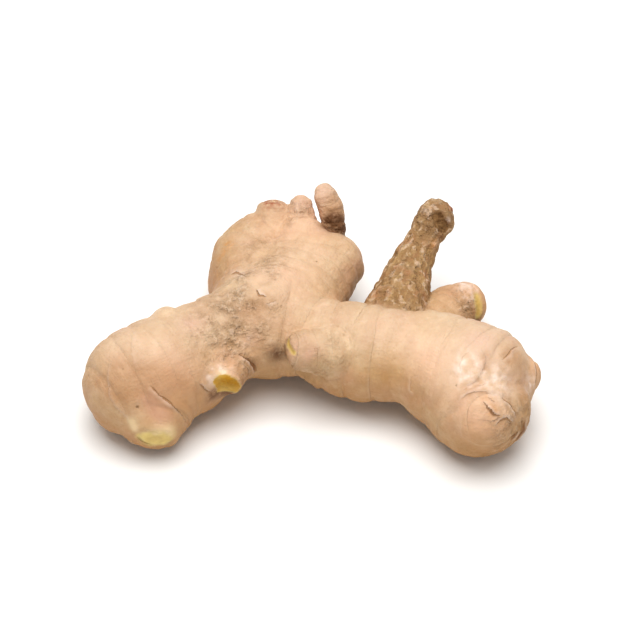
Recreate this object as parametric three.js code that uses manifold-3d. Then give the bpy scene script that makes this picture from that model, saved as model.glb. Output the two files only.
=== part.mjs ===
// A whole ginger root: one branching rhizome, a hand of stout fingers that lies on its side.
//
// Every finger is a soft tube carried along a curved spine. Its surface is stepped by growth rings, the scars
// of the scale leaves that once sheathed it, and swells a little between them. The fingers are sunk well into
// one another and joined into one closed solid, because the plant grew as one piece. A knob that was cut off
// ends in a flat face. The hand rests on three low spots, which its own weight has pressed flat.
//
// Millimetres, +Z up. The origin is on the table, in the middle of the box that the hand fills.
import * as THREE from "three";
import { mergeVertices } from "three/addons/utils/BufferGeometryUtils.js";
import Module from "manifold-3d";

const wasm = await Module();
wasm.setup();

// ---- Driving dimensions --------------------------------------------------------------------------------

const facetWidth = 4.3; // how wide one facet is across a finger
const fewestSides = 14; // on the thinnest finger
const ringRows = [0.07, 0.5, 0.93]; // where the rows of facets lie within one internode
const ringLean = 0.07; // how far a growth ring slants, as a share of the finger's radius
const unevenness = 0.22; // how much longer or shorter an internode is than the mean one, as a share
const rootCap = 0.7; // length of the rounded end that is sunk in the parent, as a share of its radius
const swellHeight = 0.8; // the slow lumps of the surface, above or below the round section
const swellWidth = 6; // how far apart the lumps are
const middle = [-0.8, 25.2]; // the middle of the hand's box, in the frame that the stations are given in
const slab = 200; // size of the block that presses the underside flat

// Each finger's stations are [x, y, z, radius] along its spine, from the end that is sunk in its parent.
// gap is the mean internode between two growth rings, ridge is how high a ring stands, tip is the length of
// the rounded end, and cut marks an end that was cut off square.
const fingers = {
  left: {
    stations: [
      [-17, 26.6, 21, 14.5],
      [-29.8, 17.8, 19.1, 14.7],
      [-41, 10.6, 17.4, 16.9],
      [-50.6, 4.2, 17.7, 17.6],
      [-56.4, 0.4, 17.2, 17.2],
    ],
    gap: 8.2,
    ridge: 0.7,
    tip: 16.4,
  },
  front_knob: {
    stations: [
      [-45.5, 6, 17, 12.5],
      [-48.6, -3, 14.6, 12.4],
      [-50.4, -10.5, 12.2, 11.2],
      [-50.2, -16.2, 10.2, 7.8],
    ],
    gap: 6,
    ridge: 0.5,
    tip: 2.4,
  },
  cut_stub: {
    stations: [
      [-25, 14, 19.5, 9.5],
      [-27.4, 5, 20, 7.2],
      [-28.5, -3, 19.4, 5],
    ],
    gap: 5,
    ridge: 0.4,
    cut: true,
  },
  shoulder_bud: {
    stations: [
      [-45, 12, 21, 8.5],
      [-47.4, 16.2, 29.8, 6],
    ],
    gap: 3.6,
    ridge: 0.3,
    tip: 3.6,
  },
  upper: {
    stations: [
      [-17, 25, 20, 17],
      [-19.8, 43, 14.2, 14.4],
      [-21, 56, 14.8, 14.4],
      [-15, 67.2, 18.6, 11.6],
    ],
    gap: 7.4,
    ridge: 0.6,
    tip: 7,
  },
  inner: {
    stations: [
      [-13, 30, 20, 14],
      [-5.6, 51, 18.6, 12.8],
      [-4.2, 63, 21.6, 9.8],
    ],
    gap: 6.4,
    ridge: 0.6,
    tip: 6,
  },
  shoulder: {
    stations: [
      [-4, 36, 18, 13],
      [6.6, 55, 19.6, 10.6],
    ],
    gap: 6,
    ridge: 0.5,
    tip: 7.4,
  },
  red_bud: {
    stations: [
      [-14.5, 64, 20.5, 9.6],
      [-14, 71.4, 27.2, 6],
    ],
    gap: 3,
    ridge: 0.3,
    tip: 3.8,
  },
  twin_bud: {
    stations: [
      [-5.4, 62, 21, 8.6],
      [-4.4, 71.4, 30.6, 3.4],
    ],
    gap: 3,
    ridge: 0.35,
    tip: 3,
  },
  back_knob: {
    stations: [
      [6.2, 57, 19, 4.4],
      [6.8, 64.6, 24.6, 3.6],
      [5.7, 69.4, 30, 4.1],
      [3.8, 71.8, 34, 3.7],
    ],
    gap: 3.8,
    ridge: 0.3,
    tip: 4.2,
  },
  middle: {
    stations: [
      [-17, 25, 20, 17],
      [-11.4, 22, 19, 16.2],
      [-3, 19.8, 18.8, 13],
      [8, 16.2, 18.2, 14.4],
      [19, 12.6, 18.4, 15.8],
      [30, 9.6, 18.8, 14.4],
      [38, 7.4, 19, 15.4],
    ],
    gap: 8,
    ridge: 0.7,
    tip: 10,
  },
  left_facing: {
    stations: [
      [13, 10.4, 21, 10.6],
      [4, 7.6, 24.6, 8.2],
      [-4.8, 5.8, 26.6, 6.2],
    ],
    gap: 5,
    ridge: 0.4,
    tip: 4,
  },
  right: {
    stations: [
      [34, 9.5, 19, 15.8],
      [44, 3.4, 19.2, 18.2],
      [51.2, -1.2, 18.8, 18.9],
    ],
    gap: 8.4,
    ridge: 0.6,
    tip: 17.6,
  },
  right_front: {
    stations: [
      [50.6, -2, 18.4, 17.6],
      [51.6, -8.8, 16.9, 16.8],
    ],
    gap: 7,
    ridge: 0.5,
    tip: 15.5,
  },
  folded_bud: {
    stations: [
      [51.5, -11, 19, 12],
      [53.7, -19.7, 24.3, 9.2],
    ],
    gap: 4.2,
    ridge: 0.4,
    tip: 5.2,
  },
  side_bud: {
    stations: [
      [60, 1.4, 19.6, 11],
      [68.4, 0.8, 20.4, 6],
    ],
    gap: 3.4,
    ridge: 0.3,
    tip: 3.8,
  },
  stem: {
    stations: [
      [24, 23, 19, 11.5],
      [29.6, 38, 22.4, 8.2],
      [33.4, 49.4, 25.8, 6.6],
      [37, 55.8, 29.4, 5.3],
      [40, 59.8, 32.6, 6.3],
      [41.2, 62, 35, 5.7],
    ],
    gap: 5.2,
    ridge: 0.4,
    tip: 4,
  },
  back_right: {
    stations: [
      [36, 22, 15, 9.5],
      [44.8, 36, 13.8, 8.1],
      [51.2, 41, 12.9, 7.5],
    ],
    gap: 5,
    ridge: 0.35,
    tip: 5.4,
  },
};

// The dent where the stem's soft heart has dried out: its middle, its three half sizes, and the turns about X
// and then about Y that lay it along the stem.
const dent = { at: [41.2, 55.9, 35.6], size: [1.9, 2, 4.4], turnX: -0.3, turnY: -0.57 };

// ---- One finger ----------------------------------------------------------------------------------------

// Slow lumps of the surface at a point, from -1 to 1 or so: two waves that cross each other.
function swell({ x, y, z }) {
  const wave = Math.sin(x / swellWidth + 1.1) * Math.sin((y + 0.8 * z) / swellWidth);
  const cross = Math.sin(z / (0.8 * swellWidth) + 0.6) * Math.cos((0.7 * x - y) / swellWidth);
  return 0.6 * wave + 0.5 * cross;
}

// Height within one internode: it swells from the ring that starts it to the edge of the ring that ends it.
function internode(share) {
  return 0.6 * Math.sin(Math.PI * share) + 0.5 * share;
}

function curveThrough(points) {
  return new THREE.CatmullRomCurve3(points, false, "catmullrom", 0.5);
}

// The spine carried straight on past both of its ends, with the finger's radius there.
function spineOf({ stations, tip = 1 }) {
  const spine = curveThrough(stations.map(([x, y, z]) => new THREE.Vector3(x, y, z)));
  const girth = curveThrough(stations.map(([, , , radius]) => new THREE.Vector3(radius, 0, 0)));
  const length = spine.getLength();
  const root = stations[0][3] * rootCap;
  const at = (s) => {
    const share = THREE.MathUtils.clamp(s / length, 0, 1);
    const past = s - share * length;
    const roundness = Math.sqrt(Math.max(0, 1 - (past / (past < 0 ? root : tip)) ** 2));
    const along = spine.getTangentAt(share);
    return {
      centre: spine.getPointAt(share).addScaledVector(along, past),
      along,
      radius: girth.getPoint(spine.getUtoTmapping(share)).x * roundness,
    };
  };
  return { at, length, root };
}

// Length of an internode, counted from the sunk end: some are longer and some shorter than the mean.
function internodeLength(gap, count) {
  return gap * (1 + unevenness * Math.sin(2.4 * count + 1));
}

// The rows of facets along a finger: two on the sunk end, three to an internode, and one at the very end.
// A row's place is counted in internodes.
function rowsOf({ gap, ridge }, end, root) {
  const rows = [
    { s: -0.8 * root, place: 0, height: 0 },
    { s: -0.4 * root, place: 0, height: 0 },
  ];
  for (let start = 0, count = 0; start < end; start += internodeLength(gap, count), count++)
    for (const share of ringRows) {
      const s = start + share * internodeLength(gap, count);
      if (s < end - 0.02 * gap) rows.push({ s, place: count + share, height: ridge * internode(share) });
    }
  rows.push({ s: end, place: 0, height: 0 });
  return rows;
}

// One row of corners round the spine, lifted by the growth rings and the lumps, and leaning with the rings.
function rowOfCorners(at, { s, place, height }, sides, square) {
  const { centre, along, radius } = at(s);
  const across = new THREE.Vector3(0, 0, 1).cross(along).normalize();
  const over = along.clone().cross(across);
  return Array.from({ length: sides }, (_, side) => {
    const turn = (2 * Math.PI * side) / sides;
    const outward = across.clone().multiplyScalar(Math.cos(turn)).addScaledVector(over, Math.sin(turn));
    const point = centre.clone().addScaledVector(outward, radius);
    const lean = square ? 0 : ringLean * radius * Math.cos(turn) * Math.cos(Math.PI * place);
    const lift = height + swellHeight * swell(point) * Math.min(1, radius / 8);
    return point.addScaledVector(outward, lift).addScaledVector(along, lean);
  });
}

// A finger as a closed mesh: the rows of corners joined by facets, with one point closing each end.
function fingerGeometry(finger) {
  const { stations, tip = 0, cut = false } = finger;
  const { at, length, root } = spineOf(finger);
  const widest = Math.max(...stations.map((station) => station[3]));
  const sides = Math.max(fewestSides, Math.round((2 * Math.PI * widest) / facetWidth));
  const end = cut ? length : length + 0.985 * tip;
  const rows = rowsOf(finger, end, root);
  const points = [
    at(-root).centre,
    ...rows.flatMap((row) => rowOfCorners(at, row, sides, cut && row.s === end)),
    at(length + tip).centre,
  ];

  const faces = [];
  const last = points.length - 1;
  const corner = (row, side) => 1 + row * sides + (side % sides);
  for (let side = 0; side < sides; side++) {
    faces.push(0, corner(0, side + 1), corner(0, side));
    faces.push(last, corner(rows.length - 1, side), corner(rows.length - 1, side + 1));
    for (let row = 0; row < rows.length - 1; row++) {
      const [a, b] = [corner(row, side), corner(row, side + 1)];
      const [c, d] = [corner(row + 1, side), corner(row + 1, side + 1)];
      faces.push(a, b, d, a, d, c);
    }
  }
  return new THREE.BufferGeometry().setFromPoints(points).setIndex(faces);
}

// ---- Joining the fingers -------------------------------------------------------------------------------

function solidOf(geometry) {
  const bare = geometry.clone().deleteAttribute("normal").deleteAttribute("uv");
  const merged = mergeVertices(bare, 1e-4);
  return new wasm.Manifold(
    new wasm.Mesh({
      numProp: 3,
      vertProperties: merged.attributes.position.array,
      triVerts: new Uint32Array(merged.index.array),
    }),
  );
}

function geometryOf(solid) {
  const { vertProperties, triVerts } = solid.getMesh();
  return new THREE.BufferGeometry()
    .setAttribute("position", new THREE.BufferAttribute(vertProperties, 3))
    .setIndex(new THREE.BufferAttribute(triVerts, 1));
}

function toOrigin(geometry) {
  return geometry.translate(-middle[0], -middle[1], 0);
}

const table = new THREE.BoxGeometry(slab, slab, slab).translate(0, 0, -slab / 2);
const hollow = new THREE.IcosahedronGeometry(1, 2)
  .scale(...dent.size)
  .rotateX(dent.turnX)
  .rotateY(dent.turnY)
  .translate(...dent.at);
const hand = Object.values(fingers)
  .map((finger) => solidOf(toOrigin(fingerGeometry(finger))))
  .reduce((joined, finger) => joined.add(finger))
  .subtract(solidOf(toOrigin(hollow)))
  .subtract(solidOf(table));

// ---- The part ------------------------------------------------------------------------------------------

const skin = new THREE.MeshStandardMaterial({ color: 0xd9b48c, roughness: 0.6, metalness: 0 });
const rhizome = new THREE.Mesh(geometryOf(hand), skin);
rhizome.name = "ginger_root";

const part = new THREE.Group();
part.add(rhizome);
export default part;
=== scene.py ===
# %% [markdown]
# # A whole ginger root
# A hand of fresh ginger is a rhizome: a swollen underground stem that forks into stout fingers. Its skin is
# thin and papery, and is stepped by rings where scale leaves once sheathed the stem. This notebook dresses
# the plain solid of the hand with that skin. First the solid is loaded as a frame, so that everything lands
# on it.

import bpy
import numpy as np
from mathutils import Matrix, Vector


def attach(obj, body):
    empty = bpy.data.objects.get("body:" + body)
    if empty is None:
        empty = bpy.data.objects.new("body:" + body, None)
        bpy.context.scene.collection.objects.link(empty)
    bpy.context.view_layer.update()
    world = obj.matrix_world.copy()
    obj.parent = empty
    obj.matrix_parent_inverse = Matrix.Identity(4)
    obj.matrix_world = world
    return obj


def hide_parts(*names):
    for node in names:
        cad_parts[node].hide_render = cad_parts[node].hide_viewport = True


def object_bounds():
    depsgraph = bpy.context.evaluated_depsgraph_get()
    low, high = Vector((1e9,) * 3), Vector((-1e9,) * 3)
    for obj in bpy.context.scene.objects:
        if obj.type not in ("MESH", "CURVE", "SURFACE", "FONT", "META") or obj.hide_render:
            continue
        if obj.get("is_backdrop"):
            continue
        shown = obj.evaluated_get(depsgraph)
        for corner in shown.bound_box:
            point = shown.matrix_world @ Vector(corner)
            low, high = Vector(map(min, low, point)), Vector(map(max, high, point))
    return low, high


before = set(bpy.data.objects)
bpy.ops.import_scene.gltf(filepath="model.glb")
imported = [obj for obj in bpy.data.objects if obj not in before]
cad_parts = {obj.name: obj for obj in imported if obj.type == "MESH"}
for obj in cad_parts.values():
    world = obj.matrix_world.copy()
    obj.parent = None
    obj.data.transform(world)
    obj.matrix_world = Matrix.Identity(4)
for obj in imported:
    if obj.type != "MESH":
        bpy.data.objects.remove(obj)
solid_low, solid_high = (np.array(corner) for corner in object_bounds())
print("solid box in mm:", (1000 * solid_low).round(1), (1000 * solid_high).round(1))

# %% [markdown]
# ## The fingers
# Each finger of the hand is a soft tube along a curved spine. A few stations give the place of the spine
# and the finger's radius there, in millimetres, from the end that is sunk in its parent to its tip. They
# could be drawn as curves with a bevel, but as plain numbers the same stations also tell every point of the
# skin how far along which finger it lies, and the growth rings need that. `gap` is the distance between two
# rings, `ridge` is how high a ring stands, `tip` is the length of the rounded end, and `cut` marks an end
# that was cut off square.

# %% Stations of every finger
MIDDLE = np.array([-0.8, 25.2, 0.0])  # middle of the hand's box, in the frame of the stations

FINGERS = {
    "left": dict(
        stations=[(-17, 26.6, 21, 14.5), (-29.8, 17.8, 19.1, 14.7), (-41, 10.6, 17.4, 16.9),
                  (-50.6, 4.2, 17.7, 17.6), (-56.4, 0.4, 17.2, 17.2)],
        gap=8.2, ridge=0.7, tip=16.4),
    "front_knob": dict(
        stations=[(-45.5, 6, 17, 12.5), (-48.6, -3, 14.6, 12.4), (-50.4, -10.5, 12.2, 11.2),
                  (-50.2, -16.2, 10.2, 7.8)],
        gap=6, ridge=0.5, tip=2.4),
    "cut_stub": dict(
        stations=[(-25, 14, 19.5, 9.5), (-27.4, 5, 20, 7.2), (-28.5, -3, 19.4, 5)],
        gap=5, ridge=0.4, cut=True),
    "shoulder_bud": dict(
        stations=[(-45, 12, 21, 8.5), (-47.4, 16.2, 29.8, 6)],
        gap=3.6, ridge=0.3, tip=3.6),
    "upper": dict(
        stations=[(-17, 25, 20, 17), (-19.8, 43, 14.2, 14.4), (-21, 56, 14.8, 14.4), (-15, 67.2, 18.6, 11.6)],
        gap=7.4, ridge=0.6, tip=7),
    "inner": dict(
        stations=[(-13, 30, 20, 14), (-5.6, 51, 18.6, 12.8), (-4.2, 63, 21.6, 9.8)],
        gap=6.4, ridge=0.6, tip=6),
    "shoulder": dict(
        stations=[(-4, 36, 18, 13), (6.6, 55, 19.6, 10.6)],
        gap=6, ridge=0.5, tip=7.4),
    "red_bud": dict(
        stations=[(-14.5, 64, 20.5, 9.6), (-14, 71.4, 27.2, 6)],
        gap=3, ridge=0.3, tip=3.8),
    "twin_bud": dict(
        stations=[(-5.4, 62, 21, 8.6), (-4.4, 71.4, 30.6, 3.4)],
        gap=3, ridge=0.35, tip=3),
    "back_knob": dict(
        stations=[(6.2, 57, 19, 4.4), (6.8, 64.6, 24.6, 3.6), (5.7, 69.4, 30, 4.1), (3.8, 71.8, 34, 3.7)],
        gap=3.8, ridge=0.3, tip=4.2),
    "middle": dict(
        stations=[(-17, 25, 20, 17), (-11.4, 22, 19, 16.2), (-3, 19.8, 18.8, 13), (8, 16.2, 18.2, 14.4),
                  (19, 12.6, 18.4, 15.8), (30, 9.6, 18.8, 14.4), (38, 7.4, 19, 15.4)],
        gap=8, ridge=0.7, tip=10),
    "left_facing": dict(
        stations=[(13, 10.4, 21, 10.6), (4, 7.6, 24.6, 8.2), (-4.8, 5.8, 26.6, 6.2)],
        gap=5, ridge=0.4, tip=4),
    "right": dict(
        stations=[(34, 9.5, 19, 15.8), (44, 3.4, 19.2, 18.2), (51.2, -1.2, 18.8, 18.9)],
        gap=8.4, ridge=0.6, tip=17.6),
    "right_front": dict(
        stations=[(50.6, -2, 18.4, 17.6), (51.6, -8.8, 16.9, 16.8)],
        gap=7, ridge=0.5, tip=15.5),
    "folded_bud": dict(
        stations=[(51.5, -11, 19, 12), (53.7, -19.7, 24.3, 9.2)],
        gap=4.2, ridge=0.4, tip=5.2),
    "side_bud": dict(
        stations=[(60, 1.4, 19.6, 11), (68.4, 0.8, 20.4, 6)],
        gap=3.4, ridge=0.3, tip=3.8),
    "stem": dict(
        stations=[(24, 23, 19, 11.5), (29.6, 38, 22.4, 8.2), (33.4, 49.4, 25.8, 6.6), (37, 55.8, 29.4, 5.3),
                  (40, 59.8, 32.6, 6.3), (41.2, 62, 35, 5.7)],
        gap=5.2, ridge=0.4, tip=4),
    "back_right": dict(
        stations=[(36, 22, 15, 9.5), (44.8, 36, 13.8, 8.1), (51.2, 41, 12.9, 7.5)],
        gap=5, ridge=0.35, tip=5.4),
}
MELTED = ["left", "front_knob", "cut_stub", "upper", "inner", "shoulder", "middle", "right", "right_front",
          "folded_bud", "side_bud"]  # these run into one another without a crease
print(len(FINGERS), "fingers, of which", len(MELTED), "melt into one another")

# %% [markdown]
# ## A spine
# A smooth curve through the stations could be a Bezier, but a Catmull-Rom curve needs no handles: it passes
# through every station, and its slope there is half the step between the two neighbours.

# %% Curve through the stations
ROOT_CAP = 0.7  # length of the sunk rounded end, as a share of its radius


def catmull_rom(stations, t):
    """Cubic through the stations: p(t) = h00 a + h10 (b - z)/2 + h01 b + h11 (c - a)/2, with the Hermite
    weights h of t's fraction, for the station a before t, b after it, z before a and c after b."""
    ends = np.vstack([2 * stations[0] - stations[1], stations, 2 * stations[-1] - stations[-2]])
    span = np.clip(t.astype(int), 0, len(stations) - 2)
    u = (t - span)[:, None]
    before, start, end, after = (ends[span + k] for k in range(4))
    return ((2 * u**3 - 3 * u**2 + 1) * start + (u**3 - 2 * u**2 + u) * (end - before) / 2
            + (3 * u**2 - 2 * u**3) * end + (u**3 - u**2) * (after - start) / 2)


def spine_of(finger, spacing=0.8):
    """The finger's spine as arrays: length along it s, centre, direction and radius. Past both ends the spine
    runs straight on and the radius falls as a quarter ellipse, r sqrt(1 - (past / cap)^2)."""
    stations = np.array(finger["stations"], float)
    t = np.linspace(0, len(stations) - 1, 60 * (len(stations) - 1) + 1)
    line = catmull_rom(stations, t)
    run = np.append(0, np.cumsum(np.linalg.norm(np.diff(line[:, :3], axis=0), axis=1)))
    slope = np.gradient(line[:, :3], run, axis=0)
    root, tip, length = ROOT_CAP * stations[0, 3], finger.get("tip", 0), run[-1]
    bend = np.linspace(0, np.pi / 2, 14)
    parts = [-root * np.cos(bend)[:-1], np.linspace(0, length, int(length / spacing) + 2)]
    if tip:
        parts.append(length + tip * np.sin(bend)[1:])
    s = np.concatenate(parts)
    inside = np.clip(s, 0, length)
    values = np.stack([np.interp(inside, run, column) for column in np.hstack([line, slope]).T], axis=1)
    along = values[:, 4:] / np.linalg.norm(values[:, 4:], axis=1, keepdims=True)
    past = s - inside
    cap = np.where(past < 0, root, max(tip, 1e-6))
    radius = values[:, 3] * np.sqrt(np.clip(1 - (past / cap) ** 2, 0, 1))
    return dict(s=s, centre=values[:, :3] + along * past[:, None], along=along, radius=radius, length=length)


spines = {name: spine_of(finger) for name, finger in FINGERS.items()}
print("spine lengths in mm:", {name: round(float(spine["length"]), 1) for name, spine in spines.items()})

# %% [markdown]
# ## Tubes round the spines
# Each tube is a grid of two parameters, the length along the spine and the turn round it, put into a mesh
# whole. Slow lumps are added at once: two waves that cross each other, the same as on the solid.

# %% Slow lumps, and the directions round a spine
SWELL_HEIGHT = 0.8  # mm, the slow lumps above or below the round section
SWELL_WIDTH = 6.0  # mm
SLIM = 8.0  # mm, the radius below which a finger swells less


def swell(p):
    """Slow lumps, -1 to 1: 0.6 sin(x) sin(y + 0.8 z) + 0.5 sin(z) cos(0.7 x - y), at their own widths."""
    x, y, z = np.moveaxis(p, -1, 0)
    wave = np.sin(x / SWELL_WIDTH + 1.1) * np.sin((y + 0.8 * z) / SWELL_WIDTH)
    cross = np.sin(z / (0.8 * SWELL_WIDTH) + 0.6) * np.cos((0.7 * x - y) / SWELL_WIDTH)
    return 0.6 * wave + 0.5 * cross


def directions(along):
    """Two directions square to the spine: level, z x along, and over, along x level."""
    level = np.cross([0, 0, 1], along)
    level /= np.linalg.norm(level, axis=1, keepdims=True)
    return level, np.cross(along, level)


some_lumps = SWELL_HEIGHT * swell(spines["left"]["centre"])
print("lumps along the left finger:", some_lumps.min().round(2), "to", some_lumps.max().round(2), "mm")

# %% Sweep a round section along a spine
SIDES = 72


def tube(spine):
    """Corners and faces of a closed tube: centre + radius (cos turn level + sin turn over) + lumps, on a grid
    of length and turn, with one point closing each end."""
    level, over = directions(spine["along"])
    turn = np.linspace(0, 2 * np.pi, SIDES, endpoint=False)
    outward = np.cos(turn)[None, :, None] * level[:, None] + np.sin(turn)[None, :, None] * over[:, None]
    grid = spine["centre"][:, None] + outward * spine["radius"][:, None, None]
    swelling = SWELL_HEIGHT * swell(grid) * np.minimum(1, spine["radius"] / SLIM)[:, None]
    grid = (grid + outward * swelling[:, :, None])[1:]
    if spine["radius"][-1] < 1e-3:  # a rounded tip already ends in one point
        grid = grid[:-1]
    rows = len(grid)
    points = np.vstack([spine["centre"][:1], grid.reshape(-1, 3), spine["centre"][-1:]])
    row, side = np.meshgrid(np.arange(rows - 1), np.arange(SIDES), indexing="ij")
    corner = 1 + row * SIDES + side
    beside = 1 + row * SIDES + (side + 1) % SIDES
    quads = np.stack([corner, beside, beside + SIDES, corner + SIDES], axis=-1).reshape(-1, 4)
    ring = np.arange(SIDES)
    after = (ring + 1) % SIDES
    last = 1 + (rows - 1) * SIDES
    start = np.stack([np.zeros(SIDES, int), 1 + after, 1 + ring], axis=1)
    end = np.stack([np.full(SIDES, len(points) - 1), last + ring, last + after], axis=1)
    return points, quads, np.vstack([start, end])


print("the left finger's tube has", len(tube(spines["left"])[0]), "corners")

# %% Put all the tubes into one mesh
points, quads, triangles, count = [], [], [], 0
for spine in spines.values():
    corners, four_sided, three_sided = tube(spine)
    points.append(corners)
    quads += (four_sided + count).tolist()
    triangles += (three_sided + count).tolist()
    count += len(corners)
tube_mesh = bpy.data.meshes.new("tubes")
tube_mesh.from_pydata((np.vstack(points) - MIDDLE) / 1000, [], quads + triangles)
tube_mesh.validate()
tubes = bpy.data.objects.new("tubes", tube_mesh)
bpy.context.scene.collection.objects.link(tubes)
print(len(spines), "tubes with", count, "corners")

# %% [markdown]
# ## One skin
# The tubes only run into one another. A boolean would join them with hard seams, so a voxel remesh is used:
# it wraps everything in one even net of squares, as fine as the smallest wrinkle that should show.

# %% Wrap the tubes in one net
VOXEL = 0.62  # mm

wrap = tubes.modifiers.new("wrap", "REMESH")
wrap.mode = "VOXEL"
wrap.voxel_size = VOXEL / 1000
graph = bpy.context.evaluated_depsgraph_get()
skin_mesh = bpy.data.meshes.new_from_object(tubes.evaluated_get(graph))
bpy.data.objects.remove(tubes)
skin_mesh.name = "ginger_skin"


def read(collection, name, width, kind=np.float32):
    """One property of every vertex, edge or face of a mesh, as an array."""
    values = np.empty(len(collection) * width, kind)
    collection.foreach_get(name, values)
    return values.reshape(-1, width) if width > 1 else values


skin = read(skin_mesh.vertices, "co", 3).astype(float) * 1000 + MIDDLE
edges = read(skin_mesh.edges, "vertices", 2, np.int32)
print("net:", len(skin), "corners,", 2 * len(skin_mesh.polygons), "triangles")

# %% [markdown]
# ## Where on the hand is each point?
# The rings, wrinkles and colours all follow the fingers, so each point of the net is measured against each
# spine: how far along it is, how far it has turned round it, and how far outside that finger's plain tube
# it lies. The finger that a point is least outside of owns it.

# %% Measure every point against every spine
BLEND = 0.9  # mm, over which one finger's pattern hands over to the next


def measure(p, spine):
    """Nearest spine sample by squared distance, |c|^2 - 2 p.c, then s moved on by the offset along it."""
    centre = spine["centre"]
    squared = (centre**2).sum(1)[None] - 2 * p @ centre.T
    near = squared.argmin(1)
    offset = p - centre[near]
    along = spine["along"][near]
    slide = (offset * along).sum(1)
    level, over = directions(along)
    across = offset - slide[:, None] * along
    radial = np.linalg.norm(across, axis=1)
    turn = np.arctan2((across * over).sum(1), (across * level).sum(1))
    outside = np.hypot(radial, np.where(np.abs(slide) > 1, slide, 0)) - spine["radius"][near]
    return spine["s"][near] + np.clip(slide, -1, 1), turn, radial, outside


along_of, turn_of, radial_of, outside_of = (
    dict(zip(spines, column)) for column in zip(*(measure(skin, spine) for spine in spines.values()))
)
outside = np.stack([outside_of[name] for name in spines], axis=1)
share = np.exp(-(outside - outside.min(1, keepdims=True)) / BLEND)
share /= share.sum(1, keepdims=True)
share_of = dict(zip(spines, share.T))
print("points owned:", {name: int((part > 0.5).sum()) for name, part in share_of.items()})

# %% [markdown]
# ## Melting fingers together
# Where two stout fingers meet, the plant has one continuous skin with a soft valley. Sculpting that by hand
# would be slow. Letting each point drift towards its neighbours rounds such a valley by itself, and doing
# it only where melted fingers meet leaves the buds with the sharp creases that they really have.

# %% Round the valleys between melted fingers
VALLEY_WIDTH = 3.2  # mm, difference of outside distances at which two fingers no longer melt
BUD_MARGIN = 1.5  # mm, kept sharp round a bud


def relax(p, amount, rounds):
    """Each round, p moves by amount x (mean of its neighbours - p)."""
    p = p.copy()
    neighbours = np.bincount(edges.ravel(), minlength=len(p))[:, None]
    one, other = edges.T
    for _ in range(rounds):
        total = np.stack([np.bincount(one, p[other, k], len(p)) + np.bincount(other, p[one, k], len(p))
                          for k in range(p.shape[1])], axis=1)
        p += amount * (total / neighbours - p)
    return p


melted = np.array([name in MELTED for name in spines])
two_nearest = np.sort(np.where(melted, outside, 99), axis=1)[:, :2]
bud_nearest = np.where(melted, 99, outside).min(1)
meeting = np.exp(-((two_nearest[:, 1] - two_nearest[:, 0]) / VALLEY_WIDTH) ** 2)
clear_of_buds = np.clip((bud_nearest - two_nearest[:, 0]) / BUD_MARGIN, 0, 1)
melt = (meeting * clear_of_buds)[:, None]
skin = relax(skin, 0.5, 6)  # a few rounds everywhere take off the net's steps
skin = relax(skin, 0.5 * melt, 90)  # and many more round the valleys
print("melted:", int((melt > 0.5).sum()), "points")

# %% [markdown]
# ## Noise
# Nothing on a plant repeats exactly. Perlin noise is the usual ingredient for that: random slopes on a
# lattice, eased into one another. Blender has it as a texture, and here it is needed as numbers for the
# shape as well.

# %% Perlin noise on whole arrays
def noise(p, size, seed):
    """Perlin noise, about -1 to 1, with lumps `size` wide: the sum over a cell's 8 corners of slope . offset,
    weighted by the eased distance 6t^5 - 15t^4 + 10t^3 from the corner."""
    rng = np.random.default_rng(seed)
    order = rng.permutation(256)
    slopes = rng.normal(size=(256, 3))
    slopes /= np.linalg.norm(slopes, axis=1, keepdims=True)
    place = p / size
    cell = np.floor(place).astype(int)
    part = place - cell
    ease = part**3 * (part * (part * 6 - 15) + 10)
    total = np.zeros(len(p))
    for corner in np.ndindex(2, 2, 2):
        x, y, z = ((cell + corner) & 255).T
        slope = slopes[order[(order[(order[x] + y) & 255] + z) & 255]]
        total += (slope * (part - corner)).sum(1) * np.where(corner, ease, 1 - ease).prod(1)
    return 1.7 * total


print("noise from", noise(skin[:2000], 5, 1).min().round(2), "to", noise(skin[:2000], 5, 1).max().round(2))

# %% [markdown]
# ## Growth rings
# A ring is the scar of a scale leaf. Seen closely it is a small step: the skin swells along each internode,
# stands up in a thin dry lip, and drops into a groove behind it. The rings slant to one side and the other
# by turns, because the leaves stood in two rows, and they aren't evenly spaced. A wave texture would give
# rings of one height everywhere, so the step is worked out from each finger's own length and turn, and
# noise makes it fainter here and stronger there.

# %% Step the skin with growth rings
RING_LEAN = 0.07  # share of the radius by which a ring slants
UNEVENNESS = 0.22  # how much longer or shorter an internode is than the mean one, as a share
RING_WIDTH = 0.8  # mm, width of a ring's lip and groove
FAINT_RINGS = {"left": 0.3, "right": 0.4, "right_front": 0.4, "upper": 0.3, "inner": 0.3, "stem": 0.3,
               "back_knob": 0.15, "twin_bud": 0.4, "red_bud": 0.3}


def place_on(name, p):
    """Place along a finger, counted in internodes. Internode k is gap (1 + 0.22 sin(2.4 k + 1)) long, a ring
    leans by 0.07 r cos(turn) cos(pi place), and slow noise lets it wander."""
    lengths = FINGERS[name]["gap"] * (1 + UNEVENNESS * np.sin(2.4 * np.arange(40) + 1))
    starts = np.append(0, np.cumsum(lengths))
    place = np.interp(along_of[name], starts, np.arange(len(starts)))
    lean = RING_LEAN * radial_of[name] * np.cos(turn_of[name]) * np.cos(np.pi * place)
    return np.interp(along_of[name] - lean, starts, np.arange(len(starts))) + 0.08 * noise(p, 9, 3)


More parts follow.
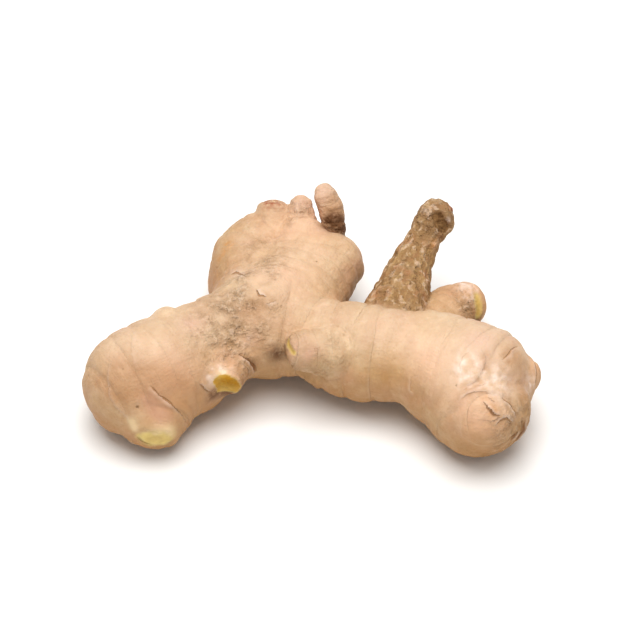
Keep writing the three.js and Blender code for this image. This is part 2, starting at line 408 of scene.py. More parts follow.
def ring_height(name, place):
    """Height in mm for the fraction q of the place: ridge (0.6 sin(pi q) + 0.5 min(q, 8 - 8 q)), plus a lip
    at q = 0.9 and less a groove at the ring itself, each exp(-(distance / width)^2)."""
    gap, q = FINGERS[name]["gap"], place - np.floor(place)
    lip = np.exp(-(((0.9 - q) * gap) / RING_WIDTH) ** 2)
    groove = np.exp(-((np.minimum(q, 1 - q) * gap) / RING_WIDTH) ** 2)
    body = FINGERS[name]["ridge"] * (0.6 * np.sin(np.pi * q) + 0.5 * np.minimum(q, 8 - 8 * q))
    return body + (0.2 * lip - 0.32 * groove) * ring_strength * (place > 0.3)


ring_strength = np.clip(0.45 + 1.0 * noise(skin, 12, 4) + 0.5 * noise(skin, 4, 5), 0.05, 1.2)
ring_strength = ring_strength * sum(share_of[name] * FAINT_RINGS.get(name, 1) for name in spines)
place_of = {name: place_on(name, skin) for name in spines}
rings = sum(share_of[name] * ring_height(name, place_of[name]) for name in spines)
owner = share.argmax(1)
place = np.stack([place_of[name] for name in spines], axis=1)[np.arange(len(skin)), owner]
print("rings raise the skin by", rings.min().round(2), "to", rings.max().round(2), "mm")

# %% [markdown]
# ## Where the skin is rough
# Most of the skin is smooth and waxy. It is rough and grey where it dried in the ground: over the fork of
# the hand, on the old stem, on the back knob and low down on the sides. Each rough zone is a soft ball
# round a place, or a whole finger, and noise frays its edge.

# %% Rough zones
ROUGH_PLACES = [  # place, reach in mm, strength
    ((-25, 12, 34), 12, 0.7),
    ((-19, 30, 35), 10, 0.45),
    ((60, -19, 18), 12, 0.55),
    ((48, 38, 17), 5, 0.5),
    ((-6, 66, 30), 6, 0.35),
    ((7, 62, 27), 4, 0.6),
    ((-20, 48, 30), 14, 0.3),
    ((-13.7, 40.6, 32.7), 4, 0.25),
    ((49.5, 33, 19), 3.5, 0.5),
]
ROUGH_FINGERS = {"stem": 1.0, "back_knob": 0.25, "cut_stub": 0.15, "left_facing": 0.25}
UNDERSIDE = 7.0  # mm above the table, below which the skin is scuffed


def ball(p, middle, reach):
    """1 in the middle, falling as exp(-(distance / reach)^2)."""
    return np.exp(-((p - middle) ** 2).sum(1) / reach**2)


rough = sum(strength * ball(skin, middle, reach) for middle, reach, strength in ROUGH_PLACES)
rough += sum(strength * share_of[name] for name, strength in ROUGH_FINGERS.items())
rough += 0.5 * np.exp(-(skin[:, 2] / UNDERSIDE) ** 2)
rough = np.clip(rough * (1 + 0.9 * noise(skin, 5, 11)) + 0.06 + 0.15 * noise(skin, 14, 12), 0, 1)
print("rough skin:", round(100 * float(rough.mean())), "% of the points")

# %% [markdown]
# ## Lumps, wrinkles and fibres
# Dried skin crumples into low lumps of two sizes with a few ridges between them. The ridges are the zero
# lines of noise, 1 - |noise| raised to a power. Under the skin run fibres, drawn out along each finger, so
# their noise is measured in the finger's own length and turn, stretched lengthwise. They show most on the
# old stem, which has dried to a stringy stump.

# %% Lumps, wrinkles and fibres
def grown(name, stretch=1):
    """Place in the finger's own straight space, in mm: (r cos(turn), r sin(turn), s / stretch)."""
    turn, radial = turn_of[name], radial_of[name]
    return np.stack([radial * np.cos(turn), radial * np.sin(turn), along_of[name] / stretch], axis=1)


def drawn_out(name, width, stretch, seed):
    """Noise drawn out along a finger, because it is read in the finger's own space, squeezed lengthwise."""
    return noise(grown(name, stretch), width, seed)


fibres = sum(share_of[name] * drawn_out(name, 1.7, 8, 21) for name in spines)
bands = sum(share_of[name] * drawn_out(name, 8, 0.2, 22) for name in spines)
crumple = 0.8 * noise(skin, 3.2, 23) + 0.4 * noise(skin, 1.7, 24)
crumple += 0.8 * (1 - np.abs(noise(skin, 2.8, 30))) ** 3 + 0.4 * (1 - np.abs(noise(skin, 1.5, 33))) ** 3 - 0.5
strings = drawn_out("stem", 2.0, 4, 28) + 0.5 * drawn_out("stem", 1.2, 2.5, 29)
lumps = 0.45 * noise(skin, 13, 25) + 0.28 * noise(skin, 6, 26) + 0.12 * noise(skin, 2.8, 27)
old = share_of["stem"]
dried = crumple * (1 - old) + strings * old
wrinkles = lumps + 0.06 * fibres + 0.12 * bands + 0.5 * rough * dried
print("wrinkles from", wrinkles.min().round(2), "to", wrinkles.max().round(2), "mm")

# %% [markdown]
# ## Creases round the buds
# Where a bud or a knob leaves its parent, the skin folds inwards in a dark crease. It runs where a point is
# as far outside of the bud as of the parent. Dividing that difference by its steepness turns it into a
# distance along the skin, so that the crease is equally wide all round. Some buds are cut off by a deep
# crease and some hardly.

# %% Sink a crease round each bud
CREASE_WIDTH = 1.1  # mm
CREASES = {"shoulder_bud": 0.25, "red_bud": 0.5, "twin_bud": 0.5, "back_knob": 1.0, "stem": 0.9,
           "back_right": 0.9, "left_facing": 0.5}  # share of the full depth


def steepness(values, p):
    """At each point, the greatest change of the values per mm towards a neighbour."""
    one, other = edges.T
    change = np.abs(values[one] - values[other]) / np.maximum(np.linalg.norm(p[one] - p[other], axis=1), 0.1)
    greatest = np.zeros(len(p))
    np.maximum.at(greatest, one, change)
    np.maximum.at(greatest, other, change)
    return greatest


hem = bud_nearest - two_nearest[:, 0]
hem = hem / np.maximum(relax(steepness(hem, skin)[:, None], 0.5, 3)[:, 0], 0.25)
hem = relax(np.clip(hem, -6, 6)[:, None], 0.5, 5)[:, 0]
bud = np.where(melted, 99, outside).argmin(1)
hemmed = np.array([CREASES.get(name, 0) for name in spines])[bud]
hemmed = hemmed * np.clip(0.7 + 0.9 * noise(skin, 7, 31), 0.1, 1)
crease = hemmed * np.exp(-((hem / CREASE_WIDTH) ** 2))
print("creased points:", int((crease > 0.5).sum()))

# %% [markdown]
# ## Folds, tears and pits
# The skin is torn and folded in a few places. Each fold is a path of a few points on the skin: on its left
# the skin stands up in a flap and on its right it dips, and where it gapes a dark line shows. The distance
# from the path, positive on the left, is kept, because the material draws these thin edges from it. Pits
# are the scars of roots, and most of them lie on rough skin, where they are scattered with a seed.

# %% Where the folds and pits lie
FOLDS = [  # height in mm, width of the raised side in mm, darkness, path in mm (the raised side is its left)
    (0.45, 2.8, 0.08, [(44.5, -16.5, 30.7), (49.5, -13.8, 33), (52, -11, 35), (53.2, -7.5, 37),
                       (51.5, -3.9, 38.3)]),
    (0.3, 2.0, 0.1, [(45.6, -12.2, 34.2), (44.9, -9.2, 35.5), (45.9, -6.3, 36.9), (48.4, -4.6, 38.2)]),
    (0.6, 2.0, 0.12, [(45.3, -18.1, 29.3), (47.6, -17.2, 31), (50.3, -16.8, 31.4), (55.4, -17.3, 30.5)]),
    (0.6, 1.3, 0.75, [(52, -19.7, 29.9), (53.5, -21.5, 29.3), (55.3, -22.5, 27.8), (56.9, -22.3, 27.5)]),
    (0.5, 1.4, 0.4, [(55.4, -24.2, 24.7), (57.3, -22.9, 26.4), (58.9, -22.3, 26.3), (61.5, -21.9, 23.5)]),
    (0.2, 1.8, 0.05, [(53.5, -26.3, 17.9), (48.2, -25.4, 19.2), (46, -24.2, 21), (45.8, -22, 28.1)]),
    (0.5, 1.2, 0.9, [(65.8, -17, 18.6), (64.8, -18, 14.5), (62.8, -18.6, 11)]),
    (0.4, 1.2, 0.6, [(63.2, -19.8, 17.5), (61.5, -20.3, 13.5)]),
    (0.4, 1.6, 0.4, [(62.5, -19.8, 23.5), (60.4, -18.8, 27.8), (57.2, -18.2, 30)]),
    (0.5, 1.8, 0.5, [(69.5, -4.6, 21), (70.3, -2.7, 23.8), (69.8, -0.3, 25.2), (69.2, 2.6, 25.2)]),
    (0.25, 1.6, 0.25, [(63.9, 1.5, 32.6), (61.7, -1.7, 34.5), (60.2, -4.7, 34.9), (58.2, -6.8, 35.3)]),
    (0.35, 2.0, 0.1, [(31.7, -9.2, 22.6), (30.2, -7.8, 23.4), (30.4, -6.2, 27.5)]),
    (0.4, 2.8, 0.07, [(-63.5, -4.7, 32.5), (-64, -9, 29), (-63.1, -12.3, 25), (-60.7, -14.7, 21.7),
                      (-57.7, -16, 18.5)]),
    (0.35, 3.2, 0.03, [(-56.4, 6, 35.2), (-56.7, 0, 35.7), (-56.3, -4.5, 34.7), (-55.2, -8.2, 32.6)]),
    # a painted shadow line under the scar on the front knob, over a small fold
    (0.4, 1.3, 0.9, [(-55.2, -18.9, 13.3), (-53.5, -18.7, 11.3), (-51.2, -18.3, 9.3)]),
    (0.35, 1.5, 0.45, [(-41.4, -12.2, 14.2), (-42.7, -13, 18.7), (-45, -13, 22.2), (-47.9, -12.8, 25.5),
                      (-51, -11, 28)]),
    (0.7, 1.8, 1.1, [(-19, 6, 17), (-19.6, 3.6, 21.8), (-20.8, 3.5, 24.6), (-23.3, 3.7, 26.7)]),
    (0.4, 1.6, 0.4, [(-35.6, -6, 24.1), (-34.1, -6.2, 22), (-32.4, -5.5, 19)]),
    (0.5, 1.6, 0.4, [(-18.2, 24, 36.4), (-17.3, 21.6, 36.4), (-15.2, 21.1, 36.4)]),
    (0.5, 1.6, 0.3, [(-11.9, 19.4, 35.5), (-15.1, 18, 35.2)]),
    (0.5, 1.4, 0.6, [(-31.4, 26.5, 32.7), (-32.7, 23.2, 34.2)]),
    (0.35, 1.2, 0.5, [(-27.1, 38.3, 29), (-25.5, 38.9, 29.7), (-22.9, 33.7, 33.8)]),
    (0.3, 1.2, 0.3, [(-21.9, 30.1, 35.6), (-25.3, 36.7, 31)]),
]
PITS = [  # place, radius in mm, depth in mm; a wart is a pit that goes outwards
    ((-54.7, -15.8, 23.7), 1.0, 0.6),
    ((-36.1, 2.7, 32), 0.9, 0.5),
    ((-13.7, 40.6, 32.7), 1.7, -0.7),
    ((-11, 42.5, 32.5), 1.3, -0.5),
    ((-33.1, 16.6, 35.4), 0.7, 0.35),
    ((-21.5, 17.5, 35.7), 0.8, 0.4),
    ((-23.6, 8.8, 32.3), 0.8, 0.4),
    ((-28, 8, 32.4), 0.9, 0.35),
    ((64.9, -18.4, 19.7), 0.9, 0.5),
    ((61.8, -20.7, 16.4), 1.1, 0.5),
]
print(len(FOLDS), "folds and", len(PITS), "pits and warts by hand")

# %% Which side of a path is a point on?
def beside_path(p, path, facing):
    """Distance from the nearest span of a path, positive on its left, where (facing x direction) . offset
    is positive, and how far along the path that is, 0 to 1."""
    path = np.array(path, float)
    start, span = path[:-1], np.diff(path, axis=0)
    t = np.clip(((p[:, None] - start) * span).sum(2) / (span**2).sum(1), 0, 1)
    offset = p[:, None] - (start + t[:, :, None] * span)
    far = np.linalg.norm(offset, axis=2)
    near, row = far.argmin(1), np.arange(len(p))
    side = np.sign((np.cross(facing, span[near]) * offset[row, near]).sum(1))
    return far[row, near] * side, (near + t[row, near]) / len(span)


def facing_of(p):
    """Outward direction at each point, from the mesh once it has the points' places, smoothed a little."""
    skin_mesh.vertices.foreach_set("co", ((p - MIDDLE) / 1000).astype(np.float32).ravel())
    skin_mesh.update()
    smooth = relax(read(skin_mesh.vertex_normals, "vector", 3).astype(float), 0.5, 4)
    return smooth / np.linalg.norm(smooth, axis=1, keepdims=True)


facing = facing_of(skin)
print("points that face upwards:", int((facing[:, 2] > 0).sum()))

# %% Fold the skin
NEARBY = 20.0  # mm round a fold's middle, where points are measured against it
EDGE = 0.45  # mm, half the width of a flap's steep edge
GROOVE = 0.6  # mm, how far the groove lies beside the edge

folds, torn, gaping = (np.zeros(len(skin)) for _ in range(3))
tear = np.full(len(skin), 9.0)  # mm from the nearest fold, where there is one
for lift, width, gape, path in FOLDS:
    close = np.flatnonzero(((skin - np.mean(path, axis=0)) ** 2).sum(1) < NEARBY**2)
    distance, part = beside_path(skin[close], path, facing[close])
    distance = distance + 0.25 * noise(skin[close], 1.8, 41)
    taper = np.clip(4 * part * (1 - part), 0, 1) ** 0.4 * np.exp(-((np.abs(distance) / 4) ** 4))
    flap = (0.5 + 0.5 * np.tanh(distance / EDGE)) * np.exp(-((np.maximum(distance, 0) / width) ** 2))
    groove = np.exp(-(((distance + GROOVE) / (GROOVE + 0.4 * gape)) ** 2))
    folds[close] += lift * taper * (flap - (0.3 + 0.8 * gape) * groove)
    crisp = min(1.1, 0.25 + 4 * gape)  # a fold that hardly gapes has a soft edge
    nearer = np.abs(distance) < np.abs(tear[close])
    tear[close[nearer]] = distance[nearer]
    torn[close[nearer]] = lift * crisp * taper[nearer]
    gaping[close[nearer]] = gape * taper[nearer]
print("folds move the skin by", folds.min().round(2), "to", folds.max().round(2), "mm")

# %% Pit the skin
SCATTERED = 130  # pits that are scattered

rng = np.random.default_rng(7)
chance = 0.15 + rough**2
scattered = skin[rng.choice(len(skin), SCATTERED, replace=False, p=chance / chance.sum())]
pits = PITS + [(middle, rng.uniform(0.4, 0.8), rng.uniform(0.15, 0.35)) for middle in scattered]
dots = np.zeros(len(skin))
for middle, radius, depth in pits:
    dent = ball(skin, middle, radius)
    folds -= depth * dent
    dots = np.maximum(dots, dent * min(1, depth / 0.6))  # a deep pit is dark, a shallow one hardly
print(len(pits), "pits and warts; with the folds they move the skin by", folds.min().round(2), "to",
      folds.max().round(2), "mm")

# %% [markdown]
# ## Cut ends, a scar and a hollow
# One knob was cut off square, and there the bare flesh shows in deep yellow. On three more knobs only a
# flake of skin is gone, and the flesh has dried paler under it. The old stem has dried out at its end and
# left a hollow, where the solid has one too.

# %% Bare the end that was cut off
CUT_END = "cut_stub"
CUT_MIDDLE, CUT_LOW = np.array([-27.5, -3.0, 20.0]), 17.3  # middle and lower edge of the bare flesh, in mm


def step(value, low, high):
    """Smooth step 3t^2 - 2t^3 of t = (value - low) / (high - low), held at 0 and 1. Falls if low > high."""
    t = np.clip((value - low) / (high - low), 0, 1)
    return t * t * (3 - 2 * t)


cut = spines[CUT_END]
from_middle = np.linalg.norm(skin - CUT_MIDDLE, axis=1) / cut["radius"][-1] + 0.06 * noise(skin, 3, 52)
past_cut = along_of[CUT_END] - cut["length"]  # mm past the end of the spine
flesh = step(past_cut + 0.3 * noise(skin, 2.2, 51), -0.9, -0.4)
flesh *= step(from_middle, 1.0, 0.92) * step(past_cut, 0.98, 0.8)
flesh *= step(skin[:, 2] + 0.5 * noise(skin, 2.5, 57), CUT_LOW - 0.3, CUT_LOW + 0.3)
tone = flesh * (0.9 + 0.3 * noise(skin, 4, 53))
print("points of bare flesh on the cut end:", int((flesh > 0.5).sum()))

# %% Bare the scars
SCARS = [  # the two ends of its middle line, reach in mm, how deep the yellow is, how soft its edge is
    ((-51.2, -19, 12.4), (-47.8, -19, 12.2), 4.9, 0.35, 0.5),
    ((-8, 7, 29.2), (-6.2, 2.2, 29.6), 1.3, 0.6, 0.5),
    ((54.1, 38.2, 19), (54.1, 34.4, 14.2), 2.3, 0.55, 0.9),
]

scar = np.zeros(len(skin))
for start, end, reach, deep, soft in SCARS:
    distance = np.abs(beside_path(skin, [start, end], facing)[0]) / reach
    distance += 0.2 * noise(skin, 3.5, 54) + 0.1 * noise(skin, 1.6, 55)
    bared = step(distance, 1, 1 - soft)
    scar = np.maximum(scar, 0.85 * bared)
    tone = np.maximum(tone, bared * deep * step(distance, 1, 0.2))
flesh = np.maximum(flesh, scar)
print("and with the scars:", int((flesh > 0.5).sum()))

# %% Find the hollow, an egg-shaped hole
HOLLOW_AT, HOLLOW_SIZE = np.array([41.9, 56.2, 35.8]), np.array([2.5, 2.6, 5.0])  # mm
HOLLOW_TURNS = -0.3, -0.57  # radians about X, then about Y

(cos_x, cos_y), (sin_x, sin_y) = np.cos(HOLLOW_TURNS), np.sin(HOLLOW_TURNS)
about_x = np.array([[1, 0, 0], [0, cos_x, -sin_x], [0, sin_x, cos_x]])
about_y = np.array([[cos_y, 0, sin_y], [0, 1, 0], [-sin_y, 0, cos_y]])
turned = (skin - HOLLOW_AT) @ (about_y @ about_x)
from_hollow = np.linalg.norm(turned / HOLLOW_SIZE, axis=1) + 0.25 * noise(skin, 2.2, 56)
hollow = np.sqrt(np.clip(1 - from_hollow**2, 0, 1))
print("points in the hollow:", int((hollow > 0).sum()))

# %% [markdown]
# ## Raise the skin
# All the relief is added up as one height and each point moves by it along the outward direction. The
# hand's own weight has pressed its lowest spots flat, so nothing goes below the table. A last gentle
# squeeze keeps the skin inside the box of the plain solid.

# %% Move every point
CREASE_DEPTH, HOLLOW_DEPTH, SCAR_DEPTH = 0.55, 2.0, 0.25  # mm
MARGIN = 0.02  # mm, kept clear inside the box

height = (rings + wrinkles) * (1 - flesh) + 0.15 * flesh * noise(skin, 1.6, 53) + folds
height -= CREASE_DEPTH * crease + HOLLOW_DEPTH * hollow + SCAR_DEPTH * scar
skin = skin + facing * height[:, None]
skin = relax(skin, 0.25, 1)
skin[:, 2] = np.maximum(skin[:, 2], 0)


def squeeze(p, low, high):
    """Scales each side of each axis about the origin by limit / extreme, where the extreme is past it."""
    scale_low = np.minimum(1, low / np.minimum(p.min(0), -1e-9))
    scale_high = np.minimum(1, high / p.max(0))
    return np.where(p < 0, p * scale_low, p * scale_high)


places = squeeze(skin - MIDDLE, 1000 * solid_low + MARGIN * np.array([1, 1, 0]), 1000 * solid_high - MARGIN)
print("height from", height.min().round(2), "to", height.max().round(2), "mm")
print("box in mm:", places.min(0).round(2), places.max(0).round(2))

# %% [markdown]
# ## Places with a colour of their own
# Besides its general mottling, the skin has places with colours of their own: bruises go orange, old thick
# skin goes tan, the sheaths of the buds are red and rubbed spots are bleached. Other places are painted light
# and shade: shade in corners and beside folds, warm reflected light on shaded sides, and light on a
# front-facing bud. They could be painted as a mask. Soft balls round a few places do the same, and their
# edges are broken up later by noise in the material.

# %% Find the stained, bruised and bleached places, and the places of painted shade and light
PATCHES = {  # place, reach in mm
    "orange": [((-28.9, 55.3, 26.8), 2.0), ((-29.5, 53.5, 26.2), 1.8), ((-31.3, 51.5, 24.5), 1.8),
               ((52.6, -18.8, 30.1), 1.8), ((54.6, -21.6, 29.1), 2.0), ((39.5, 50, 31.5), 1.6)],  # bruises
    "red": [((-13.2, 71, 32), 3.6), ((-15.3, 70.5, 32.4), 2.6), ((45.5, 61.2, 37.5), 1.4)],  # sheaths
    "warm_bounce": [((66, -14, 18), 11), ((71, 0, 18), 8), ((50, -25, 20), 5), ((53, 38, 15), 6), ((22, -4, 24), 9),
              ((6, 66.5, 33), 4)],  # painted warm reflected light on shaded sides
    "pale": [((47.6, -9.2, 36.6), 4.4), ((46.5, -13, 33.8), 3.2), ((-20.5, 6.5, 30), 2.0),
             ((50.7, 41.5, 20.4), 3.0), ((37.5, 58.6, 38.5), 1.2), ((44.7, 56.5, 36.3), 1.1),
             ((-29.4, -2.1, 24.9), 3.0), ((-32, -3.7, 23.1), 2.5), ((55.5, -13.5, 32.5), 5.5),
             ((67.8, -6.3, 23.5), 4.0), ((51.5, 39, 20), 3.0)],  # loose dry skin
    "pink": [((5.2, 69.4, 31), 7.0), ((-6, 62, 31), 9.0), ((-45, -6, 28), 8.0), ((38, -4, 32), 9.0),
             ((52, 40, 20), 9.0), ((-10, 33, 35), 9.0), ((50.9, -24.4, 27), 8.0), ((-28, 0, 25), 5.0),
             ((69, 0, 24), 5.0), ((5, 68.5, 34), 4.0)],  # young, thin skin, and painted light on a front-facing bud and side
    "mauve": [((-51.3, -13.9, 25.7), 2.6), ((-48.5, -15.5, 22.5), 3.5), ((-46, -17, 19.5), 3.5),
              ((52, -1, 39), 5.0), ((-40, 10, 33), 4.0), ((-4.6, 69, 32.5), 3.5),
              ((3.2, 70.6, 37.2), 3.4)],  # young skin over a bruise
    "cream": [((-49, -19.3, 14.6), 3.8), ((-45.5, -19, 15), 2.6), ((-29, -2.5, 25), 2.0),
              ((-56.6, -17, 18.5), 1.8), ((-55.8, -18, 16.5), 1.5)],  # bleached
    "tan": [((-33.5, 44, 18), 8.0), ((-31, 34, 24), 5.0), ((64, -14, 10), 5.0), ((5, 63.5, 28), 3.0),
            ((-22, 2, 20), 6.0), ((-17.5, 17, 35), 7.0), ((50.5, -16, 32), 2.4), ((47.5, -16.5, 31.5), 2.0),
            ((62, -4, 33), 5.0), ((-59.9, -8.7, 32), 6.0), ((-59.9, -12.3, 27.6), 5.0),
            ((-50.7, -10.1, 29.8), 6.0), ((-45, -10, 26), 7.0), ((-38, -9, 19), 8.0),
            ((-67.2, -7.7, 27.2), 3.0), ((53.3, -7, 37.4), 1.8), ((53, -10, 36), 1.8),
            ((66.2, -7.3, 26.8), 4.0), ((60.5, -5, 35), 2.0), ((9, 67.6, 32), 2.2), ((6.5, 66, 31.8), 1.6),
            ((4.4, 66.4, 32.6), 1.3), ((6.5, 68.6, 35.4), 1.5)],  # old, thick skin, and painted shade beside a fold and over the fork
    "soil_and_shade": [((-27, -2.8, 15), 3.4), ((-31.5, -5, 17), 2.6), ((-11.5, 7, 24), 3.2),
              ((53.7, 33.6, 12.5), 2.6), ((7, 62.3, 27.6), 3.6), ((4.7, 62, 26.5), 3.0),
              ((9.6, 63.9, 27), 3.4), ((7, 64.8, 30.3), 2.2), ((5.5, 63.5, 28.5), 2.4)],  # painted shade in corners, under the stub and at a knob's base, with some soil
    "taupe": [((39, 53.5, 35), 3.0), ((42, 57, 37), 5.0)],  # rubbed smooth
}
patches = {name: sum(ball(skin, middle, reach) for middle, reach in spots) for name, spots in PATCHES.items()}
patches["pale"] *= 0.7 + 0.9 * noise(skin, 2.2, 61)
print("points in each:", {name: int((values > 0.5).sum()) for name, values in patches.items()})

# %% [markdown]
# ## What the material is told
# The material can't see which finger a point is on, how far it is from a ring or where the skin is torn. So
# what the relief knows about each point is kept in its attributes: soft amounts from 0 to 1, such as how
# rough it is, and distances, such as how far it is from a fold, from which thin lines can be drawn.

# %% Gather what the material is told
settled = step(share.max(1), 0.8, 0.97) * (1 - flesh) * (1 - step(hollow, 0, 0.2))  # on one finger only
amounts = dict(
    patches, rough=rough, old=old, flesh=flesh, tone=tone, torn=torn, gaping=gaping, settled=settled,
    sunken=rough * step(dried, 0, -0.8),
    raised=rough * step(dried, 0.1, 0.9),
    streak=0.5 + 0.8 * bands + 0.5 * fibres,
    dark=np.maximum(dots, step(hollow, 0.1, 0.7)),
    held=settled * (place > 0.3) * ring_strength,
    ringed=settled * (place > 0.3) * np.clip(0.6 + 0.8 * noise(skin, 9, 6), 0, 1),
    near_bud=hemmed * (1 - flesh) * (np.abs(hem) < 4),
)
told = {name: np.clip(values, 0, 1) for name, values in amounts.items()}
told.update(place=place, hem=hem, tear=tear)
own = np.stack([grown(name) for name in spines])[owner, np.arange(len(skin))]
print(len(told), "numbers and a place for each point")

# %% [markdown]
# ## The ginger piece
# The wrapped net takes the places of the relief and becomes the one piece of this hand, in place of the
# plain solid.

# %% Make the piece
skin_mesh.vertices.foreach_set("co", (places / 1000).astype(np.float32).ravel())
skin_mesh.polygons.foreach_set("use_smooth", np.ones(len(skin_mesh.polygons), bool))
for name, values in told.items():
    attribute = skin_mesh.attributes.new(name, "FLOAT", "POINT")
    attribute.data.foreach_set("value", values.astype(np.float32))
attribute = skin_mesh.attributes.new("grown", "FLOAT_VECTOR", "POINT")
attribute.data.foreach_set("vector", own.astype(np.float32).ravel())
skin_mesh.update()
ginger = bpy.data.objects.new("ginger", skin_mesh)
bpy.context.scene.collection.objects.link(ginger)
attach(ginger, "root")
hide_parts("ginger_root")
print("ginger:", 2 * len(skin_mesh.polygons), "triangles")

# %% [markdown]
# ## Colours and nodes
# Ginger skin is a dried layer of cork a tenth of a millimetre thick over moist flesh. Its material is built
# from nodes. Colours are given as they look on a screen and turned into linear light by one function. One
# more function adds a node, with its settings and with what goes into its sockets.

# %% Colour and node helpers
skin_finish = bpy.data.materials.new("ginger skin, thin dried cork over moist flesh, grown")
skin_finish.use_nodes = True
tree = skin_finish.node_tree
shader = tree.nodes["Principled BSDF"]


def linear(code):
    """Linear colour of an sRGB hex code: ((c + 0.055) / 1.055)^2.4, or c / 12.92 where c is below 0.04045."""
    values = [int(code[k:k + 2], 16) / 255 for k in (1, 3, 5)]
    return [((c + 0.055) / 1.055) ** 2.4 if c > 0.04045 else c / 12.92 for c in values] + [1.0]


def add(kind, sockets, out=0, **settings):
    """Adds a node and gives one of its outputs. `sockets` gives each input, by name or number, a value or the
    output that feeds it."""
    node = tree.nodes.new("ShaderNode" + kind)
    for name, value in settings.items():
        setattr(node, name, value)
    for socket, value in sockets.items():
        if isinstance(value, bpy.types.NodeSocket):
            tree.links.new(value, node.inputs[socket])
        else:
            node.inputs[socket].default_value = value
    return node.outputs[out]


where = add("TexCoord", {}, "Object")
grown_place = add("Attribute", {}, "Vector", attribute_name="grown")
known = {name: add("Attribute", {}, "Fac", attribute_name=name) for name in told}
print("sRGB #808080 is", [round(c, 3) for c in linear("#808080")[:3]], "in linear light")

# %% [markdown]
# ## Mottles, grain and overlaps
# The skin is pale tan, with cream and pink patches as wide as a thumb and finer mottling inside them. The
# patches could be painted by hand. Layered noise at the real widths does the same everywhere. Most patterns
# show only in some places, so the patterns are multiplied: they show where all of them overlap.

# %% Patterns by their real widths
def overlap(amount, *patterns):
    """Where all the patterns are at once: amount x pattern x pattern and so on."""
    for pattern in patterns:
        amount = add("Math", {0: amount, 1: pattern}, operation="MULTIPLY")
    return amount


def mottle(width, seed, detail=2.0, low=0.35, high=0.65):
    """Noise with patches `width` mm wide, (noise - low) / (high - low), held at 0 and 1."""
    pattern = add("TexNoise", {"Vector": where, "W": seed, "Scale": 1000 / width, "Detail": detail},
                  noise_dimensions="4D")
    return add("MapRange", {0: pattern, 1: low, 2: high})


def grain_along(across, along, seed, low, high):
    """Noise in the fingers' own space, with grains `across` mm wide and `along` mm long. It fades where
    fingers meet, because their spaces don't fit together there."""
    squeezed = add("Mapping", {"Vector": grown_place, "Location": (seed, 0, 0),
                               "Scale": (1 / across, 1 / across, 1 / along)})
    pattern = add("TexNoise", {"Vector": squeezed, "Scale": 1.0, "Detail": 3.0})
    return overlap(add("MapRange", {0: pattern, 1: low, 2: high}), known["settled"])


strands = grain_along(0.7, 6.0, 3.0, 0.35, 0.7)  # fibres that shine through
tucks = grain_along(5.0, 0.9, 7.0, 0.4, 0.7)  # fine tucks beside the rings
pale_strings = overlap(known["old"], grain_along(1.6, 4.2, 18.0, 0.48, 0.68))  # of the old stem
pitted = overlap(known["old"], mottle(2.0, 19.0, 2.0, 0.55, 0.68))
crumbled = add("MapRange", {0: known["rough"], 1: 0.15, 2: 0.85})
scales = mottle(2.0, 17.0, 5.0, 0.3, 0.7)  # flakes of the crumbled skin, finer than the net
frayed = mottle(2.2, 11.0, 3.0, 0.3, 0.6)
print("patterns:", len(tree.nodes), "nodes so far")

# %% [markdown]
# ## Thin lines
# A ring's lip, the edge of a flap and the dark line of a tear are thinner than the net's squares, so the
# net can't hold them. They are drawn from the distances that the net does hold, because a distance changes
# evenly from one corner to the next. Pores are the middles of random cells, and rough skin has more of
# them.

# %% Draw the rings' lips and grooves
wandering = add("Math", {0: known["place"], 1: mottle(1.6, 10.0, 2.0, 0.0, 16.0)}, operation="ADD")
fraction = add("Math", {0: wandering}, operation="FRACT")  # of the internode, from one ring to the next
ring_lip = overlap(known["held"], add("MapRange", {0: fraction, 1: 0.88, 2: 1.0}))
ring_groove = overlap(known["held"], add("MapRange", {0: fraction, 1: 0.06, 2: 0.0}))
print("rings:", len(tree.nodes), "nodes so far")

# %% Draw the edges of the flaps, the tears and the creases
flap_edge = overlap(known["torn"], add("MapRange", {0: known["tear"], 1: 1.4, 2: 0.0}),
                    add("MapRange", {0: known["tear"], 1: -0.05, 2: 0.05}))
from_split = add("Math", {0: known["tear"], 1: 0.35}, operation="ADD")
from_split = add("Math", {0: from_split}, operation="ABSOLUTE")
open_by = add("Math", {0: from_split, 1: -1.25, 2: known["gaping"]}, operation="MULTIPLY_ADD")
gaping_here = add("MapRange", {0: known["gaping"], 1: 0.0, 2: 0.3})
split = overlap(add("MapRange", {0: open_by, 1: -0.1, 2: 0.2}), gaping_here)
from_hem = add("Math", {0: known["hem"]}, operation="ABSOLUTE")
seam = overlap(known["near_bud"], add("MapRange", {0: from_hem, 1: 0.5, 2: 0.0}))
print("edges and creases:", len(tree.nodes), "nodes so far")

# %% Draw the pores
PORE_CELL = 2.2  # mm, width of a cell
BEND, BEND_WIDTH = 0.9, 1.5  # mm, how far the cells are bent, so that no pore is round, and how finely

bend = add("TexNoise", {"Vector": where, "Scale": 1000 / BEND_WIDTH, "Detail": 2.0}, "Color")
bend = add("VectorMath", {0: bend, "Scale": BEND / 1000}, operation="SCALE")
bent = add("VectorMath", {0: where, 1: bend}, operation="ADD")
from_pore = add("TexVoronoi", {"Vector": bent, "Scale": 1000 / PORE_CELL}, "Distance")
lot = add("SeparateColor", {0: from_pore.node.outputs["Color"]})  # a random number for each cell
fewest = add("Math", {0: known["rough"], 1: -0.5, 2: 1.02}, operation="MULTIPLY_ADD")
chosen = add("MapRange", {0: lot, 1: fewest, 2: 1.1})
pores = overlap(add("MapRange", {0: from_pore, 1: 0.3, 2: 0.1}), chosen)
print("pores:", len(tree.nodes), "nodes so far")

# %% [markdown]
# ## The skin's colours
# The colours lie over one another like thin washes of paint, each with its strength and its patterns. Young
# skin is pink and cream, old skin is tan, the parts that dried in the ground are grey-brown, and soil stays
# in the wrinkles. Some washes are painted light and shade: paler towards the top, darker towards the
# bottom, and darker in corners and between the flakes.

